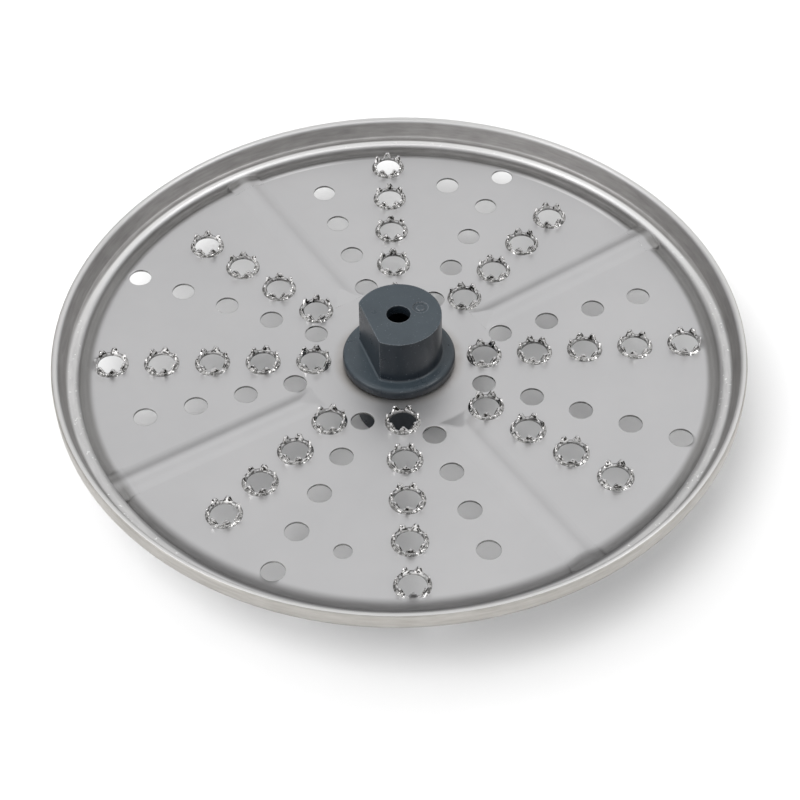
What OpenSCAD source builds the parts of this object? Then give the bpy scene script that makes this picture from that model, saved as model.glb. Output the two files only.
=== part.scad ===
// Grater disc of a food processor: a pressed steel sheet with a folded rim,
// rows of toothed holes and rows of plain holes, moulded into a plastic drive hub.
// The disc stands on the foot of its hub, which is at z = 0. The viewer is at -Y.

/* [Disc] */
// Outside diameter of the rim
disc_d = 175; // [170:1:190]
// Thickness of the steel sheet
sheet_t = 0.6; // [0.5:0.05:0.8]
// Height of the sheet's top face above the foot, at the hub
sheet_z = 18.5; // [14:0.5:24]
// Radius of the flat part of the sheet round the hub
flat_r = 17; // [16:0.5:18]
// Rise of the dished field from the flat part to the gutter
dish_rise = 1.85; // [0.5:0.1:2.5]

/* [Rim] */
// Height of the rim's top above the sheet at the hub
rim_h = 9; // [8:0.25:11]
// Width of the gutter's slope, between the field and the foot of the rim
gutter_w = 2.75; // [2:0.25:3.5]
// Depth of the gutter below the edge of the field
gutter_depth = 1.15; // [0.5:0.05:1.3]
// Height of the ledge above the sheet at the hub
ledge_h = 3.6; // [3.3:0.1:4.2]
// Width of the ledge
ledge_w = 2.75; // [2.2:0.1:3.4]
// Run of the steep step from the gutter up to the ledge
step_run = 0.65; // [0.4:0.1:1]
// Lean of the upper wall, in degrees from upright
wall_lean = 19; // [10:1:22]
// Depth of the edge that is folded outwards and down
hem_h = 3.9; // [2.5:0.1:4.5]
// Inside radius of that fold
fold_r = 0.2; // [0.2:0.05:0.4]

/* [Stiffening ribs] */
// Direction of the first rib, in degrees; the others follow at right angles
rib_turn = 30.6; // [29:0.2:34]
// Height of a rib above the field
rib_h = 0.9; // [0.4:0.1:1.2]
// Width of a rib
rib_w = 9; // [7:0.5:10]
// Radius where a rib starts
rib_start = 24.5; // [23:0.5:30]
// Length of the ramp at their inner ends
rib_ramp = 4; // [2:0.5:8]

/* [Rows of holes] */
// Step from hole to hole along every row
row_step = 12.9; // [11:0.1:15]
// Space kept between the edge of the field and the outermost hole centres
row_margin = 3; // [2.5:0.1:5]
// Radius of the first toothed hole in the long rows
long_row_start = 21.9; // [21.5:0.1:24]
// Radius of the first toothed hole in the short rows
short_row_start = 27.8; // [26.5:0.1:30]
// Direction of the short toothed rows, in degrees
short_row_turn = 49.1; // [48:0.1:52]
// Radius of the first plain hole in the long rows
long_plain_start = 23.3; // [22:0.1:25]
// Direction of the long plain rows, in degrees
long_plain_turn = 64.8; // [64.5:0.1:67]
// Radius of the first plain hole in the short rows
short_plain_start = 27.7; // [26.5:0.1:30]
// Direction of the short plain rows, in degrees
short_plain_turn = 15.9; // [15:0.1:17]

/* [Toothed holes] */
// Diameter of a toothed hole at the sheet's top face
crown_hole_d = 6.7; // [5.5:0.1:7]
// Height of the teeth above the sheet
tooth_h = 2.2; // [1.5:0.1:2.8]
// Width of a tooth at its blunt tip
tooth_tip = 0.7; // [0.3:0.1:1.2]
// Width of a tooth at its shoulders
tooth_w = 1.3; // [0.8:0.1:1.8]
// Height of the rounded tip above the shoulders
tooth_round = 0.4; // [0.2:0.05:0.8]
// Teeth round one hole
teeth = 7; // [5:1:9]
// Height of the collar between two teeth
collar_h = 0.5; // [0.35:0.05:0.8]
// Thickness of the drawn metal at the teeth
tooth_t = 0.4; // [0.3:0.05:0.5]
// Outward lean of the collar over its height
tooth_flare = 0.35; // [0:0.05:0.6]

/* [Plain and locating holes] */
// Diameter of a plain hole
plain_d = 5.9; // [4:0.1:6.5]
// Direction of the line through both locating holes, in degrees
locator_turn = 75.9; // [75:0.1:77]
// Radius of the large locating hole
locator_large_r = 67.3; // [66:0.1:69]
// Diameter of the large locating hole
locator_large_d = 6.2; // [4:0.1:7]
// Radius of the small locating hole, on the other side of the hub
locator_small_r = 64.5; // [63:0.1:68]
// Diameter of the small locating hole
locator_small_d = 4.5; // [3:0.1:6]

/* [Hub] */
// Diameter of the round part of the boss
boss_d = 21.7; // [21:0.1:23]
// Height of the boss above the sheet
boss_h = 16.1; // [12:0.1:20]
// Distance from the axis to the flat of the boss
boss_flat = 7.9; // [7.6:0.1:9]
// Radius of the fillet at the foot of the flat
flat_fillet = 0.6; // [0.3:0.1:0.9]
// Direction that the flat faces, in degrees
flat_turn = 198.2; // [180:1:220]
// Widening of the boss from its top to its foot
boss_draft = 0.15; // [0:0.05:0.3]
// Radius of the fillet at the foot of the boss
foot_fillet = 0.7; // [0.4:0.1:1]
// Diameter of the flange on the sheet
flange_d = 28.8; // [27:0.2:31]
// Thickness of the flange on the sheet
flange_t = 3; // [2:0.1:4]
// Radius of the flange's upper edge
flange_edge_r = 1.3; // [0.5:0.1:1.6]
// Chamfer of the flange's lower edge, against the sheet
flange_relief = 0.5; // [0.2:0.1:0.8]
// Diameter of the collar under the sheet
collar_d = 26; // [24:0.5:29]
// Thickness of the collar under the sheet
collar_t = 2.2; // [1.5:0.1:3]
// Diameter of the sleeve that the disc stands on
sleeve_d = 22; // [21:0.2:23.5]
// Diameter of the drive socket
socket_d = 15; // [14:0.1:15.4]
// Diameter of the round bore in the sleeve, below the socket
guide_d = 15.6; // [15.5:0.1:16.4]
// Wall between the flat of the boss and the flat of the socket
flat_wall = 2; // [1.6:0.1:2.4]
// Thickness of the wall over the socket
top_wall = 2.75; // [2:0.25:4]
// Diameter of the hole through that wall
top_hole_d = 6.1; // [4:0.1:8]
// Chamfer at the sleeve's foot and at the mouth of the socket
mouth_chamfer = 0.6; // [0.3:0.1:0.9]
// Diameter of the round moulding mark on the top
mark_d = 3.9; // [2.5:0.1:4.2]
// Depth of that mark
mark_depth = 0.35; // [0.2:0.05:0.6]
// Distance of the mark from the axis
mark_r = 6; // [5.8:0.1:6.4]
// Direction of the mark, in degrees
mark_turn = 21.6; // [0:1:60]
// Keys that lock the sheet in the hub
key_count = 4; // [2:1:6]
// Radius of the sheet's centre hole inside the hub
centre_hole_r = 9; // [8.6:0.1:9.6]

/* [Hidden] */
$fn = 96;
// Quarter turns of the pattern
quarters = [0, 90, 180, 270];
// Largest angle between two facets of a bend
bend_step = 30;
// Overshoot of a cut past the face that it starts from
cut = 1;
// Depth to which a raised form is sunk into the sheet
sunk = sheet_t / 2;

// Radii of the rim, from the outside in
fold_outer = fold_r + sheet_t;
fold_flat = 0.02;
rim_r = disc_d / 2;
fold_in_r = rim_r - fold_flat - fold_outer * (1 + tan((90 - wall_lean) / 2));
ledge_out_r = fold_in_r - (rim_h - ledge_h) * tan(wall_lean);
ledge_in_r = ledge_out_r - ledge_w;
gutter_r = ledge_in_r - step_run;
field_r = gutter_r - gutter_w;
dish_angle = atan(dish_rise / (field_r - flat_r));
// Radii of the sheet's bends, on its upper face
field_bend = 3;
gutter_bend = 0.7;
ledge_bend = sheet_t + 0.3;
wall_bend = 0.9;

// Farthest that a hole's centre may lie from the axis
row_end = field_r - row_margin;

// Toothed holes: radii of the drawn collar
crown_r = crown_hole_d / 2;
collar_wall = sheet_t * 0.8;
tip_r = crown_r + tooth_flare + tooth_t;
draw_r = crown_r + collar_wall + 1.2;
half_tooth = 180 / teeth;
notch_floor = 0.35;

// Hub heights
sheet_under = sheet_z - sheet_t;
flange_z = sheet_z + flange_t;
boss_z = sheet_z + boss_h;
socket_z = boss_z - top_wall;
key_w = 4;
key_h = 2.2;

// Outlines of bent sheet

function unit(v) = v / norm(v);
function left_of(v) = [-v.y, v.x];

// Corner i of an open path, moved sideways by d; positive is to the left
function moved(path, i, d) =
    let (
        last = len(path) - 1,
        a = left_of(unit(path[max(i, 1)] - path[max(i, 1) - 1])),
        b = left_of(unit(path[min(i, last - 1) + 1] - path[min(i, last - 1)]))
    )
    path[i] + d * (a + b) / (1 + a * b);

// Positive where the path turns left at corner i
function turning(path, i) = sign(cross(path[i] - path[i - 1], path[i + 1] - path[i]));

// Arc of radius r that rounds the corner at b between a and c
function corner_arc(a, b, c, r) =
    let (
        u = unit(a - b),
        v = unit(c - b),
        half = acos(u * v) / 2,
        centre = b + unit(u + v) * r / sin(half),
        from = b + u * r / tan(half) - centre,
        to = b + v * r / tan(half) - centre,
        start = atan2(from.y, from.x),
        sweep = (atan2(to.y, to.x) - start + 540) % 360 - 180,
        steps = max(2, ceil(abs(sweep) / bend_step))
    )
    [for (k = [0:steps]) centre + r * [cos(start + sweep * k / steps), sin(start + sweep * k / steps)]];

// Path with bend radii r, moved sideways by d; the bends stay concentric
function bent(path, r, d) =
    [for (i = [0:len(path) - 1])
        each r[i] == 0
            ? [moved(path, i, d)]
            : corner_arc(moved(path, i - 1, d), moved(path, i, d), moved(path, i + 1, d),
                r[i] - turning(path, i) * d)];

function reversed(list) = [for (i = [len(list) - 1:-1:0]) list[i]];

// Upper face of the sheet from the field's edge to the ledge, and on to the hem
gutter_path = [
    [field_r, dish_rise],
    [gutter_r, dish_rise - gutter_depth],
    [ledge_in_r, ledge_h],
    [ledge_out_r, ledge_h]
];
rim_path = concat(
    [[flat_r, 0]],
    gutter_path,
    [[fold_in_r, rim_h], [rim_r, rim_h], [rim_r, rim_h - hem_h]]
);
rim_bends = [0, field_bend, gutter_bend, ledge_bend, wall_bend, fold_outer, fold_outer, 0];

// Height of the field's upper face at radius r
function field_h(r) = r < flat_r ? 0 : (r - flat_r) * tan(dish_angle);

// Radii of the holes in a row that starts at radius first
function row_radii(first) = [for (r = [first:row_step:row_end]) r];

// Places and lays down what follows on the field, at radius r and direction a
module on_field(r, a)
    rotate(a)
        translate([r, 0, sheet_z + field_h(r)])
            rotate([0, -dish_angle, 0])
                children();

// One copy at each hole of four rows
module rows(first, turn)
    for (q = quarters, r = row_radii(first))
        on_field(r, q + turn)
            children();

module toothed_rows() {
    rows(long_row_start, 0) children();
    rows(short_row_start, short_row_turn) children();
}

module plain_rows() {
    rows(long_plain_start, long_plain_turn) children();
    rows(short_plain_start, short_plain_turn) children();
}

// Steel sheet

// Sheet without its holes: flat middle, dished field, gutter, ledge, wall and hem
module sheet_blank()
    translate([0, 0, sheet_z])
        rotate_extrude()
            polygon(concat(
                [[0, -sheet_t], [0, 0]],
                bent(rim_path, rim_bends, 0),
                reversed(bent(rim_path, rim_bends, -sheet_t))
            ));

// Centre hole with keyways, which the hub's plastic fills
module centre_hole(h)
    translate([0, 0, sheet_under - h / 2])
        linear_extrude(sheet_t + h) {
            circle(centre_hole_r);
            for (k = [0:key_count - 1])
                rotate(k * 360 / key_count)
                    translate([0, -key_w / 2])
                        square([centre_hole_r + key_h, key_w]);
        }

// Half outline of a rib: share of its half width, share of its height
rib_form = [[0, 1], [0.08, 0.98], [0.16, 0.93], [0.25, 0.84], [0.34, 0.7], [0.43, 0.54],
    [0.53, 0.38], [0.65, 0.22], [0.8, 0.08], [1, 0]];
rib_outline = concat(
    [for (k = [len(rib_form) - 1:-1:1]) [-rib_form[k][0] * rib_w / 2, rib_form[k][1] * rib_h]],
    [for (p = rib_form) [p[0] * rib_w / 2, p[1] * rib_h]]
);
rib_spread = 0.2;

// Straight bar along X with the rib's outline on top and a spread foot, from radius a to radius b
module rib_bar(a, b, drop, depth)
    rotate([90, 0, 90])
        translate([0, 0, a])
            linear_extrude(b - a)
                translate([0, -drop])
                    polygon(concat(
                        rib_outline,
                        [[rib_w / 2 + rib_spread, -depth], [-rib_w / 2 - rib_spread, -depth]]
                    ));

// Rib in the field, lowered by drop and reaching depth below its own foot
module field_rib(drop, depth)
    intersection() {
        translate([0, 0, sheet_z])
            translate([flat_r, 0, 0])
                rotate([0, -dish_angle, 0])
                    translate([-flat_r, 0, 0])
                        rib_bar(rib_start, field_r, drop, depth);
        translate([0, 0, sheet_z - drop])
            rib_end();
    }

// Ramp that the rib's inner end rises on
module rib_end()
    rotate_extrude()
        polygon([
            [rib_start, -cut - sheet_t],
            [rib_start, field_h(rib_start)],
            [rib_start + rib_ramp * (1 + cut / rib_h), field_h(rib_start) + rib_h + cut],
            [rim_r, field_h(rib_start) + rib_h + cut + dish_rise],
            [rim_r, -cut - sheet_t]
        ]);

// Rib where it crosses the gutter and runs into the step
module gutter_rib()
    intersection() {
        translate([0, 0, sheet_z + dish_rise])
            rib_bar(field_r - gutter_w / 2, ledge_out_r, 0, gutter_depth + sheet_t);
        translate([0, 0, sheet_z])
            rotate_extrude()
                polygon(concat(
                    [[field_r - gutter_w / 2, dish_rise - sunk]],
                    bent(gutter_path, [0, gutter_bend, ledge_bend, 0], -sunk),
                    [[ledge_out_r, ledge_h + cut], [field_r - gutter_w / 2, ledge_h + cut]]
                ));
    }

// Drawn collar before its hole and its teeth are cut, on a face at z = 0
module collar()
    rotate_extrude($fn = 48)
        polygon([
            [0, -sunk],
            [draw_r, -sunk],
            [crown_r + collar_wall, collar_h * 0.8],
            [tip_r, tooth_h],
            [0, tooth_h]
        ]);

// Inside of a drawn collar, with the rounded entry at the sheet's lower face
module collar_bore()
    rotate_extrude($fn = 48)
        polygon([
            [0, -sheet_t - cut],
            [crown_r + 0.8 + cut, -sheet_t - cut],
            [crown_r, -sheet_t * 0.3],
            [crown_r + tooth_flare, tooth_h + cut],
            [0, tooth_h + cut]
        ]);

// Notches between the teeth, which leave blunt teeth with rounded shoulders
module notches() {
    pitch = 2 * tip_r * sin(half_tooth);
    outline = [
        [notch_floor, collar_h],
        [(pitch - tooth_w) / 2, tooth_h - tooth_round],
        [(pitch - tooth_tip) / 2, tooth_h + 0.05]
    ];
    for (k = [0:teeth - 1])
        rotate((2 * k + 1) * half_tooth)
            translate([crown_r - 0.6, 0, 0])
                rotate([90, 0, 90])
                    linear_extrude(draw_r - crown_r + 0.6)
                        polygon(concat(outline, reversed([for (p = outline) [-p.x, p.y]])));
}

// Straight hole through the sheet
module drilled(d)
    translate([0, 0, -sheet_t - cut])
        cylinder(d = d, h = sheet_t + 2 * cut);

module grater_plate()
    color([0.75, 0.75, 0.76])
        difference() {
            union() {
                sheet_blank();
                for (q = quarters)
                    rotate(q + rib_turn) {
                        field_rib(0, sunk);
                        gutter_rib();
                    }
                toothed_rows() collar();
            }
            for (q = quarters)
                rotate(q + rib_turn)
                    field_rib(sheet_t, cut);
            toothed_rows() {
                collar_bore();
                notches();
            }
            plain_rows() drilled(plain_d);
            on_field(locator_large_r, locator_turn) drilled(locator_large_d);
            on_field(locator_small_r, locator_turn + 180) drilled(locator_small_d);
            centre_hole(2 * cut);
        }

// Hub

// Points of a quarter circle of radius r round [x, z], from one angle to another
function quarter(x, z, r, from, to) =
    [for (k = [0:6]) [x + r * cos(from + (to - from) * k / 6), z + r * sin(from + (to - from) * k / 6)]];

// Turned outline of the boss, flange, collar and sleeve, without the flat
module hub_blank()
    rotate_extrude()
        polygon(concat(
            [
                [0, 0],
                [sleeve_d / 2 - mouth_chamfer / 2, 0],
                [sleeve_d / 2, mouth_chamfer / 2],
                [sleeve_d / 2, sheet_under - collar_t],
                [collar_d / 2 - mouth_chamfer, sheet_under - collar_t],
                [collar_d / 2, sheet_under - collar_t + mouth_chamfer],
                [collar_d / 2, sheet_under],
                [centre_hole_r, sheet_under],
                [centre_hole_r, sheet_z],
                [flange_d / 2 - flange_relief, sheet_z],
                [flange_d / 2, sheet_z + flange_relief]
            ],
            quarter(flange_d / 2 - flange_edge_r, flange_z - flange_edge_r, flange_edge_r, 0, 90),
            quarter(boss_d / 2 + boss_draft + foot_fillet, flange_z + foot_fillet, foot_fillet, 270, 180),
            [[boss_d / 2, boss_z], [0, boss_z]]
        ));

// What the flat takes off the boss, with a rounded edge that leaves the fillet at the flat's foot
module flat_cut()
    rotate(flat_turn)
        translate([0, flange_d, 0])
            rotate([90, 0, 0])
                linear_extrude(2 * flange_d)
                    polygon(concat(
                        [[boss_flat, boss_z + cut]],
                        quarter(boss_flat + flat_fillet, flange_z + flat_fillet, flat_fillet, 180, 270),
                        [[flange_d, flange_z], [flange_d, boss_z + cut]]
                    ));

// Round moulding mark: a shallow ring with a raised middle
module mark()
    rotate(mark_turn)
        translate([mark_r, 0, boss_z - mark_depth])
            difference() {
                cylinder(d = mark_d, h = mark_depth + cut);
                translate([0, 0, -cut])
                    cylinder(d = mark_d * 0.5, h = cut + mark_depth * 0.6);
            }

// Drive socket: round in the sleeve, and with a flat above it that leaves an even wall in the boss
module socket()
    difference() {
        union() {
            cylinder(d = socket_d, h = socket_z);
            translate([0, 0, -cut])
                cylinder(d = guide_d, h = sheet_under + cut);
            translate([0, 0, -0.01])
                cylinder(r1 = guide_d / 2 + mouth_chamfer, r2 = guide_d / 2, h = mouth_chamfer);
        }
        rotate(flat_turn)
            translate([boss_flat - flat_wall, -socket_d, sheet_under])
                cube([socket_d, 2 * socket_d, socket_z]);
    }

module hub()
    color([0.24, 0.28, 0.32])
        difference() {
            union() {
                difference() {
                    hub_blank();
                    flat_cut();
                }
                centre_hole(0);
            }
            socket();
            translate([0, 0, socket_z - cut])
                cylinder(d = top_hole_d, h = top_wall + 2 * cut);
            mark();
        }

grater_plate();
hub();
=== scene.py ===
import math

import bpy
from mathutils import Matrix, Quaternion, Vector

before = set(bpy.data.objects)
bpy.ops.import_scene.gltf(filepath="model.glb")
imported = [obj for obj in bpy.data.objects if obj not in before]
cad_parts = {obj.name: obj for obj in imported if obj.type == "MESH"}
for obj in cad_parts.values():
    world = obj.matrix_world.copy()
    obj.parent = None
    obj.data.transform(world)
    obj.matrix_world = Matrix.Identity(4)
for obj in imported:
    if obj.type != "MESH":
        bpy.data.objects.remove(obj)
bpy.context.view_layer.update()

scene = bpy.context.scene
scene.view_settings.view_transform = "Standard"
scene.view_settings.look = "None"

# Camera at the photograph's place: its pose and focal length come from the round holes and the rim.
camera = bpy.data.objects.new("camera", bpy.data.cameras.new("camera"))
scene.collection.objects.link(camera)
camera.data.sensor_width = 36.0
camera.data.lens = 80.607
camera.data.clip_start = 0.01
camera.data.clip_end = 20.0
camera.location = (-0.010409, -0.318258, 0.350128)
camera.rotation_mode = "QUATERNION"
camera.rotation_quaternion = Quaternion((0.931702, 0.362565, -0.003572, -0.021588))
scene.camera = camera


class Graph:
    """Short calls for a material's or the world's nodes."""

    def __init__(self, tree):
        self.tree = tree
        self.tree.nodes.clear()

    def node(self, kind, **values):
        made = self.tree.nodes.new(kind)
        for key, value in values.items():
            setattr(made, key, value)
        return made

    def put(self, value, socket):
        if isinstance(value, bpy.types.NodeSocket):
            self.tree.links.new(value, socket)
        elif value is not None:
            socket.default_value = value

    def math(self, operation, a, b=None, c=None, clamp=False):
        n = self.node("ShaderNodeMath", operation=operation, use_clamp=clamp)
        for value, socket in zip((a, b, c), n.inputs):
            self.put(value, socket)
        return n.outputs[0]

    def noise(self, vector, scale, detail=3.0, rough=0.55, distortion=0.0):
        n = self.node("ShaderNodeTexNoise")
        self.put(vector, n.inputs["Vector"])
        self.put(scale, n.inputs["Scale"])
        self.put(detail, n.inputs["Detail"])
        self.put(rough, n.inputs["Roughness"])
        self.put(distortion, n.inputs["Distortion"])
        return n.outputs["Fac"]

    def spread(self, value, low, high, to_low=0.0, to_high=1.0, smooth=False):
        n = self.node("ShaderNodeMapRange")
        if smooth:
            n.interpolation_type = "SMOOTHSTEP"
        for v, socket in zip((value, low, high, to_low, to_high), n.inputs):
            self.put(v, socket)
        return n.outputs[0]

    def mix(self, share, a, b):
        n = self.node("ShaderNodeMix", data_type="RGBA")
        self.put(share, n.inputs[0])
        self.put(a, n.inputs[6])
        self.put(b, n.inputs[7])
        return n.outputs[2]

    def vector(self, operation, a, b=None):
        n = self.node("ShaderNodeVectorMath", operation=operation)
        self.put(a, n.inputs[0])
        self.put(b, n.inputs[1])
        return n

    def bump(self, height, distance, strength=1.0, normal=None):
        n = self.node("ShaderNodeBump")
        self.put(strength, n.inputs["Strength"])
        self.put(distance, n.inputs["Distance"])
        self.put(height, n.inputs["Height"])
        self.put(normal, n.inputs["Normal"])
        return n.outputs["Normal"]

    def bevel(self, radius, samples=4):
        n = self.node("ShaderNodeBevel", samples=samples)
        self.put(radius, n.inputs["Radius"])
        return n.outputs["Normal"]

    def ramp(self, value, stops):
        n = self.node("ShaderNodeValToRGB")
        stretch = n.color_ramp
        while len(stretch.elements) < len(stops):
            stretch.elements.new(0.5)
        for element, (place, colour) in zip(stretch.elements, stops):
            element.position = place
            element.color = (*colour, 1.0)
        self.put(value, n.inputs[0])
        return n.outputs[0]


def material(name):
    made = bpy.data.materials.new(name)
    made.use_nodes = True
    graph = Graph(made.node_tree)
    shader = graph.node("ShaderNodeBsdfPrincipled")
    out = graph.node("ShaderNodeOutputMaterial")
    made.node_tree.links.new(shader.outputs[0], out.inputs[0])
    return made, graph, shader.inputs


def dress(node, made):
    """Gives a CAD node its material."""
    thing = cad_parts[node]
    thing.data.materials.clear()
    thing.data.materials.append(made)


# Measures of the plate that its material follows, in metres: radii and heights of the field and the rim
FIELD_R = 0.0781
FIELD_SLOPE = 0.0299
FIELD_Z = 0.01799
LEDGE_R = 0.0815
LEDGE_Z = 0.0221
WALL_R = 0.08425
RIM_R = 0.0875
RIM_Z = 0.0275
# Radius of the hub's foot, round which shade is painted on the plate
HUB_SHADE_R = 0.0146
# Curvature of the ledge's crown, in 1/m
LEDGE_CROWN = 85.0
# Full turns that keep the angle positive, less the first rib's direction, plus half a quarter turn
RIB_WRAP = 2 * math.pi - math.radians(30.6) + math.pi / 4


def grey(value):
    return (value, value, value)


def band(g, value, low, high, fade):
    """1 between low and high, and 0 beyond a soft edge on each side."""
    rise = g.spread(value, low - fade, low + fade, smooth=True)
    return g.math("MULTIPLY", rise, g.spread(value, high + fade, high - fade, smooth=True))


def steel():
    """Satin stainless sheet.

    The teeth are torn and burnished, with painted glints, dark painted reflections and painted shade at their
    feet and on the walls of the holes. The gutter holds a dark film with painted shade, darker on the near side.
    The leaning wall shows the marks of drawing under painted shade, the outside is worn with a painted warm
    reflection, and the ledge and the fold are rubbed bright, with painted highlights on the ledge and on two arcs
    of the field's edge at the far side. A ring of painted shade lies round the hub.
    """
    made, g, put = material("satin_steel")
    place = g.node("ShaderNodeTexCoord").outputs["Object"]
    spot = g.node("ShaderNodeSeparateXYZ")
    g.put(place, spot.inputs[0])
    x, y, z = spot.outputs
    face = g.node("ShaderNodeNewGeometry").outputs["Normal"]
    facing = g.node("ShaderNodeSeparateXYZ")
    g.put(face, facing.inputs[0])

    across = g.node("ShaderNodeCombineXYZ")
    g.put(x, across.inputs[0])
    g.put(y, across.inputs[1])
    radius = g.vector("LENGTH", across.outputs[0]).outputs["Value"]
    away = g.vector("DOT_PRODUCT", face, g.vector("NORMALIZE", across.outputs[0]).outputs[0]).outputs["Value"]

    # Distance from the axis of the nearest rib
    turn = g.math("ARCTAN2", y, x)
    beyond = g.math("SUBTRACT", g.math("MODULO", g.math("ADD", turn, RIB_WRAP), math.pi / 2), math.pi / 4)
    off_rib = g.math("MULTIPLY", radius, g.math("ABSOLUTE", g.math("SINE", beyond)))

    # Shares of the near side, of the two sides and of the far side, by which the painted shade and highlights on
    # the rim change round it
    along = g.math("DIVIDE", y, radius)
    near = g.spread(along, -0.35, -0.9, smooth=True)
    aside = g.spread(g.math("ABSOLUTE", along), 0.7, 0.25, smooth=True)
    far = g.spread(along, 0.0, 0.5, smooth=True)

    # The rim's bends and the ribs are round, and the edges of the holes are sharp
    rim_r = g.spread(radius, FIELD_R, FIELD_R + 0.0012, g.math("MULTIPLY_ADD", far, -0.0012, 0.0019), 0.0019)
    round_r = g.spread(off_rib, 0.0036, 0.0044, 0.0012, 0.00022)
    round_r = g.spread(radius, FIELD_R - 0.0015, FIELD_R, round_r, rim_r)
    round_r = g.math("MINIMUM", round_r, g.spread(radius, LEDGE_R - 0.0006, LEDGE_R, rim_r, 0.0011))
    soft = g.bevel(round_r, 8)
    edge = g.spread(g.vector("DOT_PRODUCT", soft, face).outputs["Value"], 0.985, 0.85, smooth=True)

    # Steep walls inside the field, away from the ribs' slopes, are teeth, collars and the rims of holes
    flat = g.spread(off_rib, 0.0036, 0.0044, 0.93, 0.985)
    steep = g.spread(g.math("SUBTRACT", flat, g.math("ABSOLUTE", facing.outputs["Z"])), 0.0, 0.12, smooth=True)
    torn = g.math("MULTIPLY", steep, g.spread(radius, FIELD_R - 0.0005, FIELD_R - 0.0015))
    sheet = g.math("MULTIPLY_ADD", radius, FIELD_SLOPE, FIELD_Z)
    raised = g.spread(g.math("SUBTRACT", z, sheet), -0.0001, 0.0003)

    # Zones of the rim, and the ring of painted shade round the hub; on the near side the gutter's film and its
    # painted shade reach further in
    shaded_film_from = g.math("MULTIPLY_ADD", near, -0.0012, g.math("MULTIPLY_ADD", far, 0.0007, FIELD_R - 0.0004))
    below = g.spread(z, LEDGE_Z - 0.0001, LEDGE_Z - 0.0014, smooth=True)
    bend = g.math("MULTIPLY", near, g.spread(radius, LEDGE_R + 0.0014, LEDGE_R + 0.0005, smooth=True))
    gutter = g.math(
        "MULTIPLY",
        g.spread(radius, shaded_film_from, FIELD_R + 0.0014, smooth=True),
        g.math("MAXIMUM", below, g.math("MULTIPLY", bend, g.spread(radius, WALL_R + 0.001, WALL_R))),
    )
    level = band(g, z, LEDGE_Z - 0.0004, LEDGE_Z + 0.0004, 0.0002)
    # The ledge's painted highlight starts further out on the near side and gives way sooner to the wall's painted
    # shade on the far side
    ledge_from = g.math("MULTIPLY_ADD", near, 0.0013, LEDGE_R)
    ledge_to = g.math("MULTIPLY_ADD", far, -0.0009, WALL_R + 0.0003)
    ledge = g.math(
        "MULTIPLY",
        level,
        g.math(
            "MULTIPLY",
            g.spread(g.math("SUBTRACT", radius, ledge_from), -0.0003, 0.0003, smooth=True),
            g.spread(g.math("SUBTRACT", radius, ledge_to), 0.0, -0.0009, smooth=True),
        ),
    )
    # The ledge's outer corner takes the wall's painted shade
    corner = g.spread(g.math("SUBTRACT", radius, ledge_to), -0.0009, 0.0, smooth=True)
    corner = g.math("MULTIPLY", level, corner)
    wall = g.math(
        "MULTIPLY",
        g.spread(radius, WALL_R - 0.0002, WALL_R),
        band(g, z, LEDGE_Z + 0.0003, RIM_Z - 0.0009, 0.0004),
    )
    wall = g.math("MAXIMUM", corner, g.math("MULTIPLY", wall, g.spread(away, 0.05, -0.08)))
    outside = g.math("MULTIPLY", g.spread(away, 0.3, 0.6), g.spread(radius, RIM_R - 0.004, RIM_R - 0.003))
    hem = g.spread(z, RIM_Z - 0.0008, RIM_Z - 0.0003)
    # Painted shade: a ring round the hub's foot, under its flange
    hub_shade = g.spread(radius, HUB_SHADE_R + 0.003, HUB_SHADE_R, smooth=True)

    cloud = g.noise(place, 38.0, 4.0, 0.6)
    smear = g.noise(place, 130.0, 3.0, 0.5, 0.6)
    grain = g.noise(place, 5200.0, 2.0, 0.6)
    burr = g.noise(place, 1150.0, 1.0, 0.5)

    # Marks that run along the rim
    turned = g.node("ShaderNodeCombineXYZ")
    g.put(g.math("MULTIPLY", turn, RIM_R * 0.12), turned.inputs[0])
    g.put(radius, turned.inputs[1])
    g.put(z, turned.inputs[2])
    streak = g.noise(turned.outputs[0], 1300.0, 3.0, 0.6)
    marks = g.spread(g.math("ADD", streak, g.math("MULTIPLY", smear, 0.5)), 0.5, 1.0)

    tone = g.spread(g.math("ADD", cloud, g.math("MULTIPLY", smear, 0.4)), 0.45, 1.0)
    colour = g.mix(tone, (0.580, 0.578, 0.586, 1), (0.625, 0.621, 0.627, 1))
    # Painted shade: the ring round the hub is darker and warmer
    colour = g.mix(g.math("MULTIPLY", hub_shade, smear), colour, (0.36, 0.33, 0.30, 1))
    # Painted highlight: two bright arcs on the field's edge at the far side
    lip = band(g, radius, FIELD_R - 0.0010, FIELD_R + 0.0002, 0.0003)
    highlight_arcs = g.math("ADD", band(g, turn, 0.66, 1.06, 0.1), band(g, turn, 1.74, 2.04, 0.1))
    colour = g.mix(g.math("MULTIPLY", lip, highlight_arcs), colour, (0.86, 0.855, 0.86, 1))
    # Dark film in the gutter with painted shade in its crease: darker on the near side and paler at the two sides
    # as painted reflection
    gutter_film_and_shade = g.mix(marks, (0.25, 0.245, 0.24, 1), (0.36, 0.354, 0.35, 1))
    gutter_film_and_shade = g.mix(g.math("MULTIPLY", near, 0.5), gutter_film_and_shade, (0.14, 0.14, 0.145, 1))
    gutter_film_and_shade = g.mix(g.math("MULTIPLY", aside, 0.7), gutter_film_and_shade, (0.45, 0.445, 0.44, 1))
    colour = g.mix(gutter, colour, gutter_film_and_shade)
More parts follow.
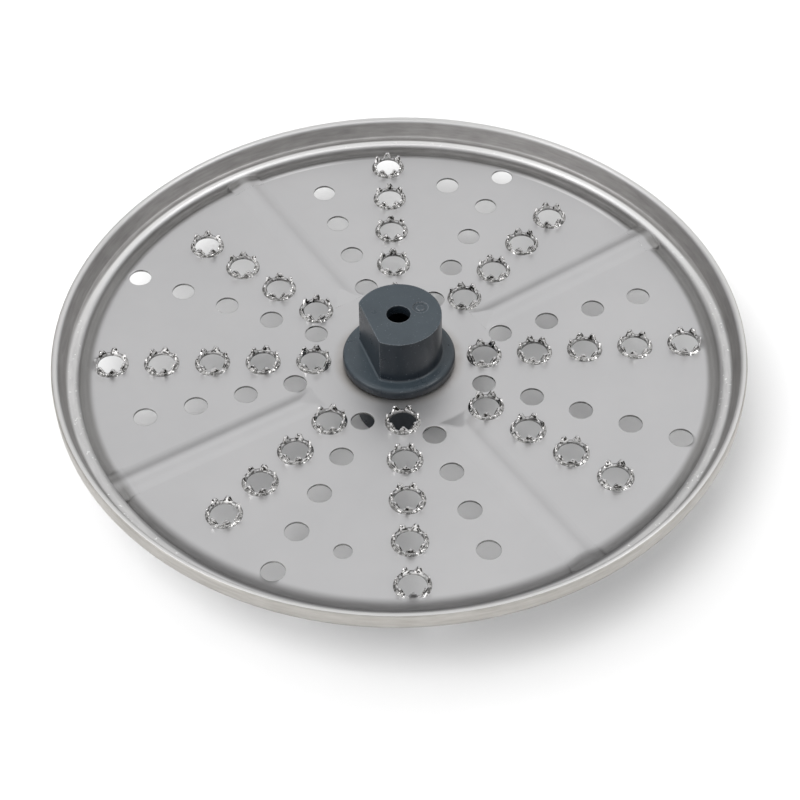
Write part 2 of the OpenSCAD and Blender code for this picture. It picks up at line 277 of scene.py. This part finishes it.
    # The ledge is rubbed bright, with bright flecks and a painted highlight that makes it brightest on the far
    # side
    paler_and_lit = g.mix(marks, (0.62, 0.615, 0.615, 1), (0.76, 0.755, 0.75, 1))
    paler_and_lit = g.mix(far, paler_and_lit, (0.89, 0.885, 0.88, 1))
    paler_and_lit = g.mix(g.spread(burr, 0.66, 0.74), paler_and_lit, (0.97, 0.97, 0.96, 1))
    colour = g.mix(ledge, colour, paler_and_lit)
    # Marks of drawing on the inside of the wall, darkened with painted shade
    drawn_and_shaded = g.mix(marks, (0.31, 0.30, 0.295, 1), (0.42, 0.41, 0.402, 1))
    colour = g.mix(wall, colour, drawn_and_shaded)
    colour = g.mix(hem, colour, (0.74, 0.735, 0.73, 1))
    # Outside of the rim: worn, with a painted warm reflection that also darkens it
    worn_and_reflection = g.mix(marks, (0.38, 0.364, 0.340, 1), (0.50, 0.484, 0.460, 1))
    colour = g.mix(outside, colour, worn_and_reflection)
    # Teeth and collars: torn metal drawn as dark and bright flecks, which are painted reflections and glints
    torn_glints_and_shade = g.ramp(burr, [(0.42, (0.04, 0.037, 0.034)), (0.47, (0.34, 0.33, 0.32)), (0.51, (0.97, 0.96, 0.95))])
    # Painted shade darkens the foot of each collar
    skirt = g.spread(g.math("SUBTRACT", z, sheet), 0.0009, 0.0004, smooth=True)
    torn_glints_and_shade = g.mix(g.math("MULTIPLY", skirt, 0.6), torn_glints_and_shade, (0.30, 0.295, 0.29, 1))
    # Painted highlight along the collars' raised edges
    torn_glints_and_shade = g.mix(g.math("MULTIPLY", edge, raised), torn_glints_and_shade, (0.97, 0.97, 0.96, 1))
    # Painted shade on the walls of the holes
    cut_edge_shade = g.mix(burr, (0.10, 0.10, 0.10, 1), (0.40, 0.40, 0.39, 1))
    colour = g.mix(torn, colour, g.mix(raised, cut_edge_shade, torn_glints_and_shade))
    g.put(colour, put["Base Color"])

    rough = g.spread(smear, 0.3, 0.7, 0.41, 0.46)
    rough = g.math("MULTIPLY_ADD", gutter, 0.12, rough)
    g.put(g.math("SUBTRACT", rough, g.math("MULTIPLY", torn, 0.30)), put["Roughness"])
    put["Metallic"].default_value = 1.0
    fine = g.bump(grain, 0.000004, 0.5, soft)
    # The ledge is crowned: it falls away towards the gutter
    fall = g.math("MAXIMUM", g.math("SUBTRACT", WALL_R, radius), 0.0)
    crowned = g.bump(g.math("MULTIPLY", g.math("POWER", fall, 2.0), -LEDGE_CROWN), 1.0, ledge, fine)
    ridged = g.bump(streak, 0.00002, g.math("MAXIMUM", wall, gutter), crowned)
    g.put(g.bump(burr, 0.0003, torn, ridged), put["Normal"])
    return made


def plastic():
    """Moulded dark blue-grey plastic: fine grain, pale scuffs on its edges, and painted light that makes it paler
    where it faces up.
    """
    made, g, put = material("moulded_plastic")
    place = g.node("ShaderNodeTexCoord").outputs["Object"]
    soft = g.bevel(0.00045, 6)
    face = g.node("ShaderNodeNewGeometry").outputs["Normal"]
    edge = g.spread(g.vector("DOT_PRODUCT", soft, face).outputs["Value"], 0.99, 0.86, smooth=True)
    cloud = g.noise(place, 160.0, 4.0, 0.6)
    grain = g.noise(place, 2600.0, 3.0, 0.6)
    fleck = g.spread(g.noise(place, 3100.0, 2.0, 0.5), 0.70, 0.76)
    facing = g.node("ShaderNodeSeparateXYZ")
    g.put(face, facing.inputs[0])
    patch = g.spread(cloud, 0.3, 0.7)
    colour = g.mix(patch, (0.010, 0.014, 0.019, 1), (0.015, 0.020, 0.026, 1))
    # Painted light: the faces that look up are paler
    paler_and_lit = g.mix(patch, (0.028, 0.038, 0.047, 1), (0.038, 0.050, 0.060, 1))
    colour = g.mix(g.spread(facing.outputs["Z"], 0.4, 0.9, smooth=True), colour, paler_and_lit)
    colour = g.mix(g.math("MULTIPLY", edge, g.spread(grain, 0.35, 0.65)), colour, (0.20, 0.22, 0.24, 1))
    colour = g.mix(g.math("MULTIPLY", fleck, 0.6), colour, (0.30, 0.33, 0.35, 1))
    g.put(colour, put["Base Color"])
    g.put(g.spread(cloud, 0.3, 0.7, 0.26, 0.34), put["Roughness"])
    put["Specular IOR Level"].default_value = 0.42
    g.put(g.bump(grain, 0.00002, 0.6, soft), put["Normal"])
    return made


def paper():
    """Plain white floor."""
    made, g, put = material("paper")
    place = g.node("ShaderNodeTexCoord").outputs["Object"]
    cloud = g.noise(place, 6.0, 2.0, 0.5)
    g.put(g.mix(cloud, (0.815, 0.815, 0.815, 1), (0.825, 0.825, 0.825, 1)), put["Base Color"])
    put["Roughness"].default_value = 0.9
    put["Specular IOR Level"].default_value = 0.1
    return made


dress("grater_plate", steel())
dress("hub", plastic())

# Floor, well beyond every view
reach = 8.0
floor_mesh = bpy.data.meshes.new("floor")
floor_mesh.from_pydata(
    [(-reach, -reach, 0), (reach, -reach, 0), (reach, reach, 0), (-reach, reach, 0)], [], [(0, 1, 2, 3)]
)
floor = bpy.data.objects.new("floor", floor_mesh)
scene.collection.objects.link(floor)
floor_mesh.materials.append(paper())


# Room that the steel mirrors, told by the angle of a direction over the top: 0 at the horizon behind the
# disc, 90 overhead and 180 at the viewer's horizon. Light behind, a bright band overhead, dark round the viewer.
ROOM = [
    (0, 0.42),
    (10, 0.46),
    (21, 0.58),
    (30, 0.78),
    (36, 0.88),
    (50, 0.90),
    (68, 0.97),
    (88, 1.00),
    (97, 0.66),
    (105, 0.38),
    (128, 0.36),
    (138, 1.20),
    (152, 1.70),
    (164, 1.10),
    (180, 0.55),
]
BRIGHTEST = max(value for _, value in ROOM)
world = bpy.data.worlds.new("room")
scene.world = world
world.use_nodes = True
room = Graph(world.node_tree)
look = room.node("ShaderNodeSeparateXYZ")
room.put(room.node("ShaderNodeTexCoord").outputs["Generated"], look.inputs[0])
over = room.math("ARCTAN2", look.outputs["Z"], look.outputs["Y"])
lean = room.math("MULTIPLY_ADD", look.outputs["X"], 0.7, over)
glow = room.ramp(
    room.spread(lean, 0.0, math.pi),
    [(angle / 180, grey(value / BRIGHTEST)) for angle, value in ROOM],
)
side = room.spread(look.outputs["X"], -1.0, 1.0, BRIGHTEST * 1.10, BRIGHTEST * 0.90)
background = room.node("ShaderNodeBackground")
room.put(glow, background.inputs["Color"])
room.put(side, background.inputs["Strength"])
out = room.node("ShaderNodeOutputWorld")
room.put(background.outputs[0], out.inputs[0])


def lamp(kind, name, azimuth, elevation, distance, **values):
    """Light that looks at the object from azimuth (0 is the viewer's side, 90 the right) and elevation."""
    made = bpy.data.objects.new(name, bpy.data.lights.new(name, kind))
    for key, value in values.items():
        setattr(made.data, key, value)
    a = math.radians(azimuth)
    e = math.radians(elevation)
    back = Vector((math.sin(a) * math.cos(e), -math.cos(a) * math.cos(e), math.sin(e)))
    made.location = Vector((0, 0, 0.02)) + back * distance
    made.rotation_mode = "QUATERNION"
    made.rotation_quaternion = back.to_track_quat("Z", "Y")
    scene.collection.objects.link(made)
    return made


# Soft daylight, as azimuth, elevation and energy: mostly low and from the left, so that it reaches the floor
# under the disc. The steel mirrors the room alone, so these lights aren't seen in it.
DAYLIGHT = [
    (180, 20, 0.65),
    (225, 20, 0.55),
    (270, 42, 0.35),
    (315, 20, 0.5),
    (315, 64, 1.6),
]
for azimuth, elevation, energy in DAYLIGHT:
    sun = lamp("SUN", "daylight", azimuth, elevation, 1.0, energy=energy, angle=math.radians(34))
    sun.visible_glossy = False


def softbox(name, azimuth, elevation, size, glow):
    """Square light a metre away, seen in gloss alone; glow is its radiance."""
    made = lamp("AREA", name, azimuth, elevation, 1.0, shape="SQUARE", size=size, energy=glow * math.pi * size**2)
    made.visible_diffuse = False
    return made


softbox("left_box", 298, 34, 0.30, 5.0)
softbox("right_box", 74, 47, 0.30, 4.5)
